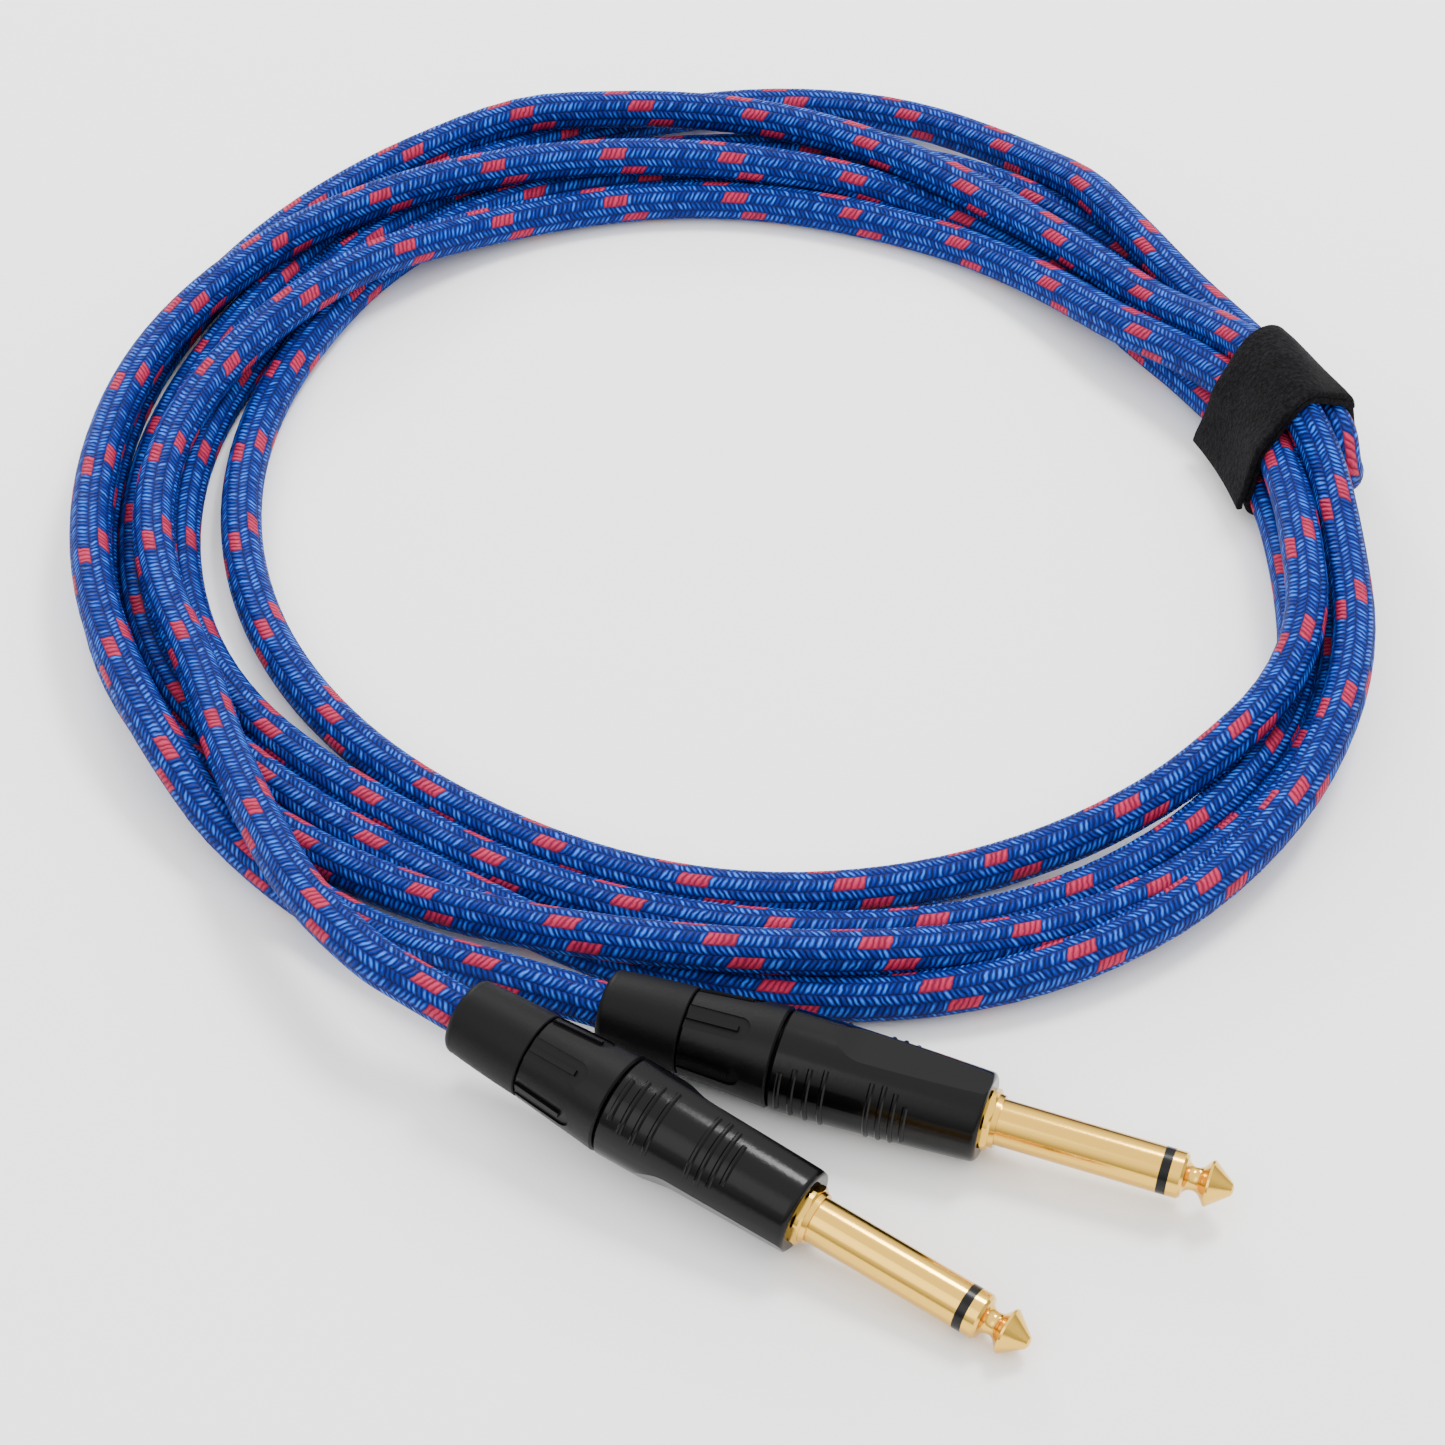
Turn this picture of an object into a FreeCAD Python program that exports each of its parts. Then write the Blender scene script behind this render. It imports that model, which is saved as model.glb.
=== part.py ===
"""Instrument cable: a braided lead wound in a flat oval coil and held by a hook-and-loop tie,
with a straight 6.35 mm two-pole jack plug on each end.

Millimetres, +Z up, the coil and both plugs lie on the plane Z = 0.
"""
import FreeCAD
import Part
import math
import os

Vector = FreeCAD.Vector

# ------------------------------------------------------------------ cable
CABLE_D = 6.5            # over the woven jacket
CORE_D = 2.4             # insulated signal conductor
SCREEN_D = 1.0           # twisted tail of the screen
GROUND = CABLE_D / 2     # height of a strand that lies on the floor

# ------------------------------------------------------------------ plug, along its own axis
CONTACT_D = 6.35         # quarter-inch contact
SLEEVE_L = 22.0          # sleeve in front of the collar
RING_L = 1.3             # insulating ring between sleeve and tip
TIP_L = 8.4
TIP_ROD_D = 2.3
INSULATOR_WALL = 0.8
COLLAR_D = 8.6
COLLAR_L = 1.8
COLLAR_LIP = 0.7
SHANK_D = 7.0            # rear of the sleeve, passes through the shell's nose
SHANK_L = 7.6
NOSE_L = 2.6             # front wall of the shell
SHELL_L = 28.9
SHELL_FRONT_D = 12.3
SHELL_REAR_D = 14.1
SHELL_WALL = 1.35
SHELL_BULGE = 0.07       # its side is a flat arc, so it is widest just ahead of the rear edge
FLAT_START = 0.16        # share of the shell's length at which its two flats sink in
FLAT_LEVEL = 0.42        # and at which they reach their depth
FLAT_DEPTH_REAR = 0.75
FLAT_DEPTH_FRONT = 0.45
RIB_H = 0.32             # how far a grip rib stands proud
RIB_W = 0.75
RIBS = (                 # distance from the shell's rear edge and half angle of each grip rib
    (1.7, 25), (3.6, 33), (5.6, 38), (7.7, 41), (14.0, 42), (15.7, 43), (17.4, 38), (19.0, 26),
)
NUT_L = 13.2
NUT_REAR_D = 12.1
NUT_GROOVES = 6
NUT_GROOVE_W = 3.4
NUT_GROOVE_DEPTH = 0.45
NUT_GROOVE_L = 9.2
NUT_BAR_W = 0.8          # thin bar left standing along the middle of each groove
SPIGOT_L = 4.6           # threaded nose of the nut, inside the shell
BOOT_L = 11.9
BOOT_REAR_D = 10.8
SEAM = 0.25              # visible joint between shell and nut, and nut and boot
SCREW_PITCH = 1.0
SCREW_TURNS = 4
FIT = 0.05               # radial, parts that are pressed or screwed together
CLEAR = 0.2              # radial, parts that pass each other freely
LUG_T = 0.5
HEX_NUT_L = 2.0
LUG_TAIL_L = 6.0
WASHER_L = 1.2
LINER_WALL = 0.6
CHUCK_L = 10.5
CHUCK_WALL = 1.1
CHUCK_SLITS = 4
CHUCK_SLIT_W = 0.8
JACKET_INSIDE = 23.0     # jacket that lies inside nut and boot

# ------------------------------------------------------------------ how the plugs lie
# tip point in plan, heading of the axis in plan, nose-down tilt and roll of the ribs, degrees
PLUG_POSES = {
    "plug_a": dict(tip=(38.7, -163.7), heading=-32.8, tilt=6.0, roll=28.0, rests_on="tip"),
    "plug_b": dict(tip=(66.5, -141.3), heading=-19.9, tilt=1.5, roll=80.0, rests_on="shell"),
}

# ------------------------------------------------------------------ coil
# Laps of the cable round the coil's centre. Each pair is radius and height of the strand at
# the stations below, counted clockwise from the left-hand side.
STATIONS = (0, 30, 60, 90, 120, 150, 170, 190, 210, 240, 270, 300, 330)
UPPER = 8.9              # a strand that lies in the groove between two others
LAPS = {
    "first": ((89.6, UPPER), (84.0, UPPER), (83.0, 3.8), (81.0, GROUND), (79.3, 4.0),
              (75.3, 9.3), (82.8, 10.7), (92.0, 9.8), (95.6, 9.4), (91.4, GROUND),
              (86.5, GROUND), (79.8, GROUND), (76.9, GROUND)),
    "second": ((77.0, GROUND), (80.7, GROUND), (89.5, GROUND), (87.6, GROUND), (92.5, GROUND),
               (85.7, GROUND), (92.5, 5.0), (98.3, GROUND), (104.8, GROUND), (106.3, 3.8),
               (102.8, UPPER), (97.8, 3.6), (100.3, GROUND)),
    "third": ((99.3, GROUND), (103.0, GROUND), (109.0, GROUND), (101.5, 9.2), (89.2, 9.0),
              (82.4, 9.0), (89.3, 10.7), (98.9, 9.8), (108.0, 8.6), (112.5, 5.3),
              (105.0, GROUND), (92.8, GROUND), (93.8, GROUND)),
    "fourth": ((92.8, GROUND), (93.7, GROUND), (102.5, GROUND), (106.5, GROUND),
               (105.5, GROUND), (89.0, 9.0), (95.8, 10.7)),
    "far_first": ((99.2, 9.8), (98.6, 8.4), (92.7, UPPER), (84.3, UPPER), (86.0, GROUND),
                  (79.2, GROUND), (86.0, 5.0), (91.8, GROUND), (98.3, GROUND), (99.8, GROUND),
                  (93.0, GROUND), (86.3, GROUND), (87.3, GROUND)),
    "far_second": ((86.3, GROUND), (87.2, GROUND), (96.0, GROUND), (94.2, GROUND),
                   (99.0, GROUND), (92.2, GROUND), (99.0, 5.0)),
}
NEAR_LAPS = ("first", "second", "third", "fourth")
FAR_LAPS = ("far_first", "far_second")
NEAR_ENTRY = (90.3, UPPER)   # where each lead joins the coil, one station before the first
FAR_ENTRY = (101.0, 9.8)
COIL_SECTIONS = 34

# Leads from the coil to the plugs: points after the boot's rear and the straight stretch.
LEAD_STRAIGHT = 16.0
LEAD_ROUTES = {
    "plug_a": ((-58.5, -95.0, 13.0), (-66.2, -79.0, 12.0), (-73.0, -62.0, 10.2),
               (-78.3, -45.2, 8.9)),
    "plug_b": ((-46.0, -97.5, 4.8), (-59.5, -87.0, 3.4), (-71.5, -75.0, 5.0),
               (-80.8, -62.0, 8.4), (-87.0, -49.5, 9.8)),
}

# ------------------------------------------------------------------ tie
TIE_STATION = 170
TIE_W = 17.5             # along the cable
TIE_T = 1.2
TIE_GAP = 0.3            # to the bundle it holds
TIE_SLACK = 0.35         # the held bundle is that much slimmer all round
TIE_FACINGS = (29, 60, 90, 150, 209, 240, 270, 330)   # faces of the leaning bundle, degrees
TAIL_T = 1.1
TAIL_GAP = 0.2
FOLD_R = 5.8             # where the doubled cable turns back, just past the tie
FOLD_OUT = 7.5
FOLD_AHEAD = 3.3

# From the coil's centre to the model's origin, under the middle of plugs and tie.
ORIGIN_FROM_COIL = (33.90, -67.88)

SHELL_FRONT = -COLLAR_L
SHELL_REAR = SHELL_FRONT - SHELL_L
NUT_REAR = SHELL_REAR - NUT_L
BOOT_REAR = NUT_REAR - BOOT_L
TIP_END = SLEEVE_L + RING_L + TIP_L
NOSE_BACK = SHELL_FRONT - NOSE_L
TIP_R = CONTACT_D / 2
TIP_FLANGE_FRONT = SLEEVE_L + RING_L + 5.3
SHELL_BORE_R = SHELL_REAR_D / 2 - SHELL_WALL
LINER_BORE_R = SHELL_BORE_R - FIT - LINER_WALL
HEX_NUT_AF = 2 * (LINER_BORE_R - CLEAR) * math.cos(math.radians(30))


# ------------------------------------------------------------------ helpers
def turned(points):
    """Solid of revolution about X from (along, radius) points; a 4-tuple is an arc through
    its first pair to its second."""
    edges = []
    here = points[0]
    for point in list(points[1:]) + [points[0]]:
        start = Vector(here[-2], 0, here[-1])
        end = Vector(point[-2], 0, point[-1])
        if len(point) == 4:
            edges.append(Part.Arc(start, Vector(point[0], 0, point[1]), end).toShape())
        elif (end - start).Length > 1e-6:
            edges.append(Part.LineSegment(start, end).toShape())
        here = point
    return Part.Face(Part.Wire(edges)).revolve(Vector(0, 0, 0), Vector(1, 0, 0), 360)


def tube(start, end, outer_r, inner_r):
    """Ring or tube along X."""
    return turned([(start, inner_r), (start, outer_r), (end, outer_r), (end, inner_r)])


def rod(start, end, radius):
    return Part.makeCylinder(radius, end - start, Vector(start, 0, 0), Vector(1, 0, 0))


def spun(shape, angle):
    """Copy turned about the plug's axis."""
    copy = shape.copy()
    copy.rotate(Vector(0, 0, 0), Vector(1, 0, 0), angle)
    return copy


def around(shape, count):
    return [spun(shape, 360.0 * i / count) for i in range(count)]


# ------------------------------------------------------------------ plug pieces, tip along +X
def tip_contact():
    base = SLEEVE_L + RING_L
    r = TIP_R
    head = turned([
        (base, 0), (base, r), (base + 1.5, r), (base + 1.9, r - 0.35),
        (base + 2.9, r - 1.55, base + 4.1, r - 1.2), (base + 5.0, r - 0.05),
        (TIP_FLANGE_FRONT, r), (TIP_END - 0.7, 1.25), (TIP_END - 0.2, 0.85),
        (TIP_END, 0.4), (TIP_END, 0),
    ])
    tail = rod(-COLLAR_L - SHANK_L - 4.0, base, TIP_ROD_D / 2)
    return head.fuse(tail).removeSplitter()


def insulator():
    r = TIP_ROD_D / 2 + FIT
    ring = tube(SLEEVE_L, SLEEVE_L + RING_L, CONTACT_D / 2, r)
    sheath = tube(-COLLAR_L - SHANK_L, SLEEVE_L, r + INSULATOR_WALL, r)
    return ring.fuse(sheath).removeSplitter()


def sleeve_contact():
    bore = TIP_ROD_D / 2 + FIT + INSULATOR_WALL + FIT
    r = CONTACT_D / 2
    body = turned([
        (-COLLAR_L - SHANK_L, bore), (-COLLAR_L - SHANK_L, SHANK_D / 2 - FIT),
        (-COLLAR_L, SHANK_D / 2 - FIT), (-COLLAR_L, COLLAR_D / 2 - 0.2),
        (-COLLAR_L + 0.2, COLLAR_D / 2), (-COLLAR_LIP - 0.3, COLLAR_D / 2),
        (-COLLAR_LIP, COLLAR_D / 2 - 0.3), (-COLLAR_LIP, r + 0.55), (0, r + 0.4), (0, r),
        (SLEEVE_L, r), (SLEEVE_L, bore),
    ])
    flat = Part.makeBox(COLLAR_L, COLLAR_D, COLLAR_D)
    flat.translate(Vector(-COLLAR_L, -COLLAR_D / 2, COLLAR_D / 2 - 0.3))
    keep = rod(-COLLAR_LIP, SLEEVE_L, COLLAR_D)
    flats = [cut.cut(keep) for cut in around(flat, 6)]
    return body.cut(Part.makeCompound(flats)).removeSplitter()


def ground_lug():
    front = NOSE_BACK
    ring = tube(front - LUG_T, front, HEX_NUT_AF / 2, SHANK_D / 2)
    under = -HEX_NUT_AF / 2 - LUG_T
    tail = Part.makeBox(LUG_TAIL_L, 2.0, LUG_T)
    tail.translate(Vector(front - LUG_TAIL_L, -1.0, under))
    foot = Part.makeBox(LUG_T, 2.0, LUG_T + 0.3)
    foot.translate(Vector(front - LUG_T, -1.0, under))
    return ring.fuse([tail, foot]).removeSplitter()


def retaining_nut():
    front = NOSE_BACK - LUG_T
    reach = HEX_NUT_AF / math.sqrt(3)
    corners = [Vector(0, reach * math.cos(math.radians(60 * i)),
                      reach * math.sin(math.radians(60 * i))) for i in range(7)]
    block = Part.Face(Part.makePolygon(corners)).extrude(Vector(-HEX_NUT_L, 0, 0))
    block.translate(Vector(front, 0, 0))
    return block.cut(rod(front - HEX_NUT_L, front, SHANK_D / 2))


def rear_washer():
    front = -COLLAR_L - SHANK_L
    return tube(front - WASHER_L, front, SHANK_D / 2, TIP_ROD_D / 2 + FIT)


def tip_lug():
    front = -COLLAR_L - SHANK_L - WASHER_L
    ring = tube(front - LUG_T, front, 2.4, TIP_ROD_D / 2)
    tail = Part.makeBox(5.0, 1.8, LUG_T)
    tail.translate(Vector(front - 5.0, -0.9, 2.4 - LUG_T))
    foot = Part.makeBox(LUG_T, 1.8, 1.0)
    foot.translate(Vector(front - LUG_T, -0.9, 1.4))
    return ring.fuse([tail, foot]).removeSplitter()


def shell_rib(along, span):
    """One raised arc across the top of the shell, its ends rounded into it."""
    r = shell_radius(along) + SHELL_BULGE
    half = RIB_W / 2
    root = SHELL_BORE_R + 0.3
    section = Part.Face(Part.makePolygon([
        Vector(along - half, 0, root), Vector(along + half, 0, root),
        Vector(along + half, 0, r + RIB_H * 0.4), Vector(along + half * 0.4, 0, r + RIB_H),
        Vector(along - half * 0.4, 0, r + RIB_H), Vector(along - half, 0, r + RIB_H * 0.4),
        Vector(along - half, 0, root)]))
    section.rotate(Vector(0, 0, 0), Vector(1, 0, 0), -span)
    return section.revolve(Vector(0, 0, 0), Vector(1, 0, 0), 2 * span)


def shell_radius(along):
    """Radius of the shell's straight taper."""
    share = (along - SHELL_REAR) / SHELL_L
    return (SHELL_REAR_D + (SHELL_FRONT_D - SHELL_REAR_D) * share) / 2


def shell_flat():
    """What is cut away above one flat: it dips in behind the middle and runs out in front."""
    start = SHELL_REAR + SHELL_L * FLAT_START
    level = SHELL_REAR + SHELL_L * FLAT_LEVEL
    front = SHELL_FRONT + 1.0
    edge = shell_radius(start) + SHELL_BULGE * 2
    deep = shell_radius(level) - FLAT_DEPTH_REAR
    shallow = shell_radius(SHELL_FRONT) - FLAT_DEPTH_FRONT
    top = SHELL_REAR_D
    points = [Vector(x, -SHELL_REAR_D / 2, z) for x, z in (
        (start, edge), (start + (level - start) * 0.3, edge - (edge - deep) * 0.18),
        (start + (level - start) * 0.7, deep + (edge - deep) * 0.18), (level, deep),
        (front, shallow), (front, top), (start, top))]
    dip = Part.BSplineCurve()
    dip.interpolate(points[:4], InitialTangent=Vector(1, 0, 0),
                    FinalTangent=points[4] - points[3])
    edges = [dip.toShape()] + [Part.LineSegment(a, b).toShape() for a, b in
                               zip(points[3:], points[4:] + points[:1])]
    return Part.Face(Part.Wire(edges)).extrude(Vector(0, SHELL_REAR_D, 0))


def shell():
    rear, front = SHELL_REAR + SEAM, SHELL_FRONT
    rr, fr = SHELL_REAR_D / 2, SHELL_FRONT_D / 2
    middle = ((rear + front) / 2, (rr + fr) / 2 + 0.12)
    body = turned([
        (rear, SHELL_BORE_R), (rear, rr - 0.35), (rear + 0.35, rr),
        (middle[0], middle[1], front - 0.8, fr),
        (front - 0.25, fr - 0.25, front, fr - 0.9),
        (front, SHANK_D / 2), (NOSE_BACK, SHANK_D / 2), (NOSE_BACK, SHELL_BORE_R),
    ])
    body = body.cut(Part.makeCompound([spun(c, 90) for c in around(shell_flat(), 2)]))
    ribs = [shell_rib(SHELL_REAR + back, span) for back, span in RIBS]
    opposite = [spun(rib, 180) for rib in ribs]
    return body.fuse(ribs + opposite).removeSplitter()


def liner():
    start = SHELL_REAR + SPIGOT_L + 0.6
    outer = SHELL_BORE_R - FIT
    return tube(start, NOSE_BACK, outer, outer - LINER_WALL)


def chuck():
    """Split collet: slides in the spigot and is squeezed on the jacket by the nut's cone."""
    inner = CABLE_D / 2 + FIT
    front = SHELL_REAR + 1.5
    rear = front - CHUCK_L
    outer = inner + CHUCK_WALL
    body = turned([
        (rear, inner), (rear, outer - 0.75), (rear + 2.6, outer), (front - 0.8, outer),
        (front, outer - 0.4), (front, inner),
    ])
    slit = Part.makeBox(CHUCK_L * 0.7, CHUCK_SLIT_W, 2 * outer)
    slit.translate(Vector(rear, -CHUCK_SLIT_W / 2, 0))
    return body.cut(Part.makeCompound(around(slit, CHUCK_SLITS)))


def grip_nut():
    rear, front = NUT_REAR + SEAM, SHELL_REAR
    rr, fr = NUT_REAR_D / 2, SHELL_REAR_D / 2
    chuck_outer = CABLE_D / 2 + FIT + CHUCK_WALL
    chuck_rear = SHELL_REAR + 1.5 - CHUCK_L
    bore = chuck_outer + CLEAR
    body = turned([
        (rear, CABLE_D / 2 + CLEAR), (rear, rr - 0.2), (rear + 0.2, rr), (front - 0.3, fr),
        (front, fr - 0.3), (front, SHELL_BORE_R - FIT), (front + SPIGOT_L, SHELL_BORE_R - FIT),
        (front + SPIGOT_L, bore), (chuck_rear + 2.6 - CLEAR, bore),
        (chuck_rear - CLEAR, bore - 0.75), (chuck_rear - CLEAR, CABLE_D / 2 + CLEAR),
    ])
    return body.cut(Part.makeCompound(around(nut_groove(rear), NUT_GROOVES)))


def nut_groove(rear):
    """Thumb groove: open at the rear edge, round at its front end."""
    half = NUT_GROOVE_W / 2
    straight = NUT_GROOVE_L - half
    slope = math.degrees(math.atan2((SHELL_REAR_D - NUT_REAR_D) / 2, NUT_L))
    block = Part.makeBox(straight + 1.0, NUT_GROOVE_W, 5.0)
    block.translate(Vector(rear - 1.0, -half, 0))
    end = Part.makeCylinder(half, 5.0, Vector(rear + straight, 0, 0), Vector(0, 0, 1))
    bar = Part.makeBox(straight + 1.0, NUT_BAR_W, 5.0)
    bar.translate(Vector(rear - 1.0, -NUT_BAR_W / 2, 0))
    groove = block.fuse(end).removeSplitter().cut(bar)
    groove.translate(Vector(0, 0, NUT_REAR_D / 2 - NUT_GROOVE_DEPTH))
    groove.rotate(Vector(rear, 0, NUT_REAR_D / 2 - NUT_GROOVE_DEPTH), Vector(0, 1, 0), -slope)
    return groove


def boot():
    rear, front = BOOT_REAR, NUT_REAR
    rr, fr = BOOT_REAR_D / 2, NUT_REAR_D / 2
    bore = CABLE_D / 2 + CLEAR
    return turned([
        (rear, bore), (rear, rr - 1.2), (rear + 0.35, rr - 0.3, rear + 1.3, rr),
        ((rear + front) / 2, (rr + fr) / 2 + 0.05, front - 0.15, fr), (front, fr - 0.15),
        (front, bore),
    ])


def cable_end():
    """Jacket that runs on through boot and nut into the chuck."""
    return rod(BOOT_REAR, BOOT_REAR + JACKET_INSIDE, CABLE_D / 2)


def core_wire():
    start = BOOT_REAR + JACKET_INSIDE
    end = -COLLAR_L - SHANK_L - WASHER_L - LUG_T - 3.5
    core = rod(start, end, CORE_D / 2)
    lug_top = 2.4 - LUG_T
    core.translate(Vector(0, 0, lug_top - CORE_D / 2))
    return core


def shield_tail():
    start = Vector(BOOT_REAR + JACKET_INSIDE, 0, -GROUND + SCREEN_D / 2 + 0.3)
    end = Vector(NOSE_BACK - LUG_TAIL_L, 0, -HEX_NUT_AF / 2 - LUG_T / 2)
    middle = Vector((start.x + end.x) / 2, 0, start.z)
    return wire_between([start, middle, end], SCREEN_D / 2)


def wire_between(points, radius):
    """Round wire through three points, straight runs joined by one arc."""
    path, _ = rounded_path(points)
    circle = Part.Wire(Part.Circle(points[0], points[1] - points[0], radius).toShape())
    return path.makePipeShell([circle], True, False)


PLUG_PIECES = {
    "tip_contact": tip_contact, "insulator": insulator, "sleeve_contact": sleeve_contact,
    "ground_lug": ground_lug, "retaining_nut": retaining_nut, "rear_washer": rear_washer,
    "tip_lug": tip_lug, "shell": shell, "liner": liner, "chuck": chuck, "grip_nut": grip_nut,
    "boot": boot, "cable_end": cable_end, "core_wire": core_wire, "shield_tail": shield_tail,
}


# ------------------------------------------------------------------ plug placement
def plug_placement(name):
    """Placement that carries the plug's own frame to where it lies beside the coil."""
    pose = PLUG_POSES[name]
    sink = math.sin(math.radians(pose["tilt"]))
    level = math.cos(math.radians(pose["tilt"]))
    if pose["rests_on"] == "tip":
        tip_z = TIP_R * level - (TIP_END - TIP_FLANGE_FRONT) * sink
    else:
        tip_z = (SHELL_REAR_D / 2 + SHELL_BULGE) * level - (TIP_END - SHELL_REAR) * sink
    turn = FreeCAD.Rotation(Vector(0, 0, 1), pose["heading"])
    turn = turn.multiply(FreeCAD.Rotation(Vector(0, 1, 0), pose["tilt"]))
    axis = turn.multVec(Vector(1, 0, 0))
    turn = turn.multiply(FreeCAD.Rotation(Vector(1, 0, 0), pose["roll"]))
    tip = Vector(pose["tip"][0], pose["tip"][1], tip_z)
    return FreeCAD.Placement(tip - axis * TIP_END, turn), axis


# ------------------------------------------------------------------ cable routes
def rounded_path(points):
    """Straight runs joined by tangent arcs, each as large as its two runs allow."""
    edges, radii = [], []
    here = points[0]
    for before, corner, after in zip(points, points[1:], points[2:]):
        back = (before - corner)
        ahead = (after - corner)
        reach = 0.45 * min(back.Length, ahead.Length)
        back.normalize()
        ahead.normalize()
        half_turn = (math.pi - math.acos(max(-1.0, min(1.0, back.dot(ahead))))) / 2
        radius = reach / math.tan(half_turn)
        start = corner + back * reach
        end = corner + ahead * reach
        bisector = back + ahead
        bisector.normalize()
        depth = radius / math.cos(half_turn) - radius
        edges.append(Part.LineSegment(here, start).toShape())
        edges.append(Part.Arc(start, corner + bisector * depth, end).toShape())
        radii.append(radius)
        here = end
    edges.append(Part.LineSegment(here, points[-1]).toShape())
    return Part.Wire(edges), radii


def cable_lead(name):
    placement, axis = plug_placement(name)
    rear = placement.multVec(Vector(BOOT_REAR, 0, 0))
    points = [rear, rear - axis * LEAD_STRAIGHT] + [Vector(*p) for p in LEAD_ROUTES[name]]
    path, radii = rounded_path(points)
    circle = Part.Wire(Part.Circle(rear, axis, CABLE_D / 2).toShape())
    lead = path.makePipeShell([circle], True, False)
    expected = math.pi * GROUND ** 2 * path.Length
    print(name, "lead: arcs", [round(r, 1) for r in radii], "length %.1f" % path.Length,
          "volume / (section x length) %.4f" % (lead.Volume / expected))
    return lead


# ------------------------------------------------------------------ coil
def lap_chain(names, entry):
    """Radius and height of one half of the cable against its running angle."""
    chain = [(-30.0, entry[0], entry[1])]
    for lap, name in enumerate(names):
        for station, (radius, height) in zip(STATIONS, LAPS[name]):
            chain.append((360.0 * lap + station, radius, height))
    return chain


def strand_at(chain, angle):
    """Radius and height at a running angle, by a smooth curve through the stations."""
    for i in range(len(chain) - 1):
        if chain[i][0] <= angle <= chain[i + 1][0]:
            return hermite(chain, i, angle, 1), max(GROUND, hermite(chain, i, angle, 2))
    return None


def hermite(chain, i, angle, k):
    def slope(j):
        low, high = max(j - 1, 0), min(j + 1, len(chain) - 1)
        return (chain[high][k] - chain[low][k]) / (chain[high][0] - chain[low][0])
    span = chain[i + 1][0] - chain[i][0]
    t = (angle - chain[i][0]) / span
    a, b = chain[i][k], chain[i + 1][k]
    return ((2 * t ** 3 - 3 * t ** 2 + 1) * a + (t ** 3 - 2 * t ** 2 + t) * span * slope(i)
            + (3 * t ** 2 - 2 * t ** 3) * b + (t ** 3 - t ** 2) * span * slope(i + 1))


CHAINS = (lap_chain(NEAR_LAPS, NEAR_ENTRY), lap_chain(FAR_LAPS, FAR_ENTRY))


def strands(angle):
    """Every strand that passes a station angle from 0 to 360."""
    found = []
    for chain in CHAINS:
        for lap in range(-1, 5):
            strand = strand_at(chain, angle + 360.0 * lap)
            if strand:
                found.append(strand)
    return found


def outline_round(centres, grow, facings=(0, 45, 90, 135, 180, 225, 270, 315)):
    """Eight-sided outline drawn tightly round circles of radius grow, in the section plane."""
    supports = []
    for facing in facings:
        n = (math.cos(math.radians(facing)), math.sin(math.radians(facing)))
        supports.append((n, max(c[0] * n[0] + c[1] * n[1] for c in centres) + grow))
    corners = []
    for (n1, h1), (n2, h2) in zip(supports, supports[1:] + supports[:1]):
        det = n1[0] * n2[1] - n1[1] * n2[0]
        corners.append(((h1 * n2[1] - h2 * n1[1]) / det, (h2 * n1[0] - h1 * n2[0]) / det))
    return corners


def polar(angle, radius, height):
    a = math.radians(angle)
    return Vector(-math.cos(a) * radius, math.sin(a) * radius, height)


class TieFrame:
    """Section plane through the middle of the tie: outward, up and along the cable."""
    def __init__(self):
        self.centres = strands(TIE_STATION)
        radius = sum(c[0] for c in self.centres) / len(self.centres)
        before = polar(TIE_STATION - 9, strand_at(CHAINS[1], TIE_STATION - 9)[0], 0)
        after = polar(TIE_STATION + 9, strand_at(CHAINS[1], TIE_STATION + 9)[0], 0)
        self.along = (after - before)
        self.along.normalize()
        self.up = Vector(0, 0, 1)
        self.out = self.up.cross(self.along)
        self.origin = polar(TIE_STATION, radius, 0)
        self.radius = radius

    def place(self, out, up, along=0.0):
        return self.origin + self.out * out + self.up * up + self.along * along

    def bundle(self):
        """Strand centres as (out, up) from the middle of the tie."""
        return [(c[0] - self.radius, c[1]) for c in self.centres]


TIE = TieFrame()


def coil_wires():
    wires = []
    reach = TIE_W / 2 + 2.0
    for along in (-reach, reach):
        held = outline_round(TIE.bundle(), GROUND - TIE_SLACK, TIE_FACINGS)
        wires.append([TIE.place(out, up, along) for out, up in held])
    clear = math.degrees(reach / TIE.radius) + 6.0
    span = 360.0 - 2 * clear
    for i in range(COIL_SECTIONS):
        angle = (TIE_STATION + clear + span * i / (COIL_SECTIONS - 1)) % 360.0
        wires.append([polar(angle, r, z) for r, z in outline_round(strands(angle), GROUND)])
    return wires


def cable_coil():
    """The wound cable's outer shape, one closed ring, with the fold beyond the tie."""
    sections = coil_wires()
    faces = []
    for here, ahead in zip(sections, sections[1:] + sections[:1]):
        for i in range(8):
            j = (i + 1) % 8
            for corners in ((here[i], here[j], ahead[j]), (here[i], ahead[j], ahead[i])):
                faces.append(Part.Face(Part.makePolygon(list(corners) + [corners[0]])))
    ring = Part.Solid(Part.Shell(faces))
    if ring.Volume < 0:
        ring.reverse()
    return ring.fuse(cable_fold())


def cable_fold():
    """Round end where the two innermost laps meet, standing just clear of the tie."""
    radius = FOLD_R + GROUND
    start = TIE_W / 2 + TIE_GAP + 0.2
    disc = Part.makeCylinder(radius, CABLE_D,
                             TIE.place(FOLD_OUT - GROUND, radius, start + FOLD_AHEAD), TIE.out)
    keep = Part.makeBox(60, 60, 60)
    keep.translate(Vector(0, -30, -30))
    keep.Placement = FreeCAD.Placement(TIE.place(0, 0, start),
                                       FreeCAD.Rotation(Vector(1, 0, 0), TIE.along)
                                       ).multiply(keep.Placement)
    return disc.common(keep)


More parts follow.
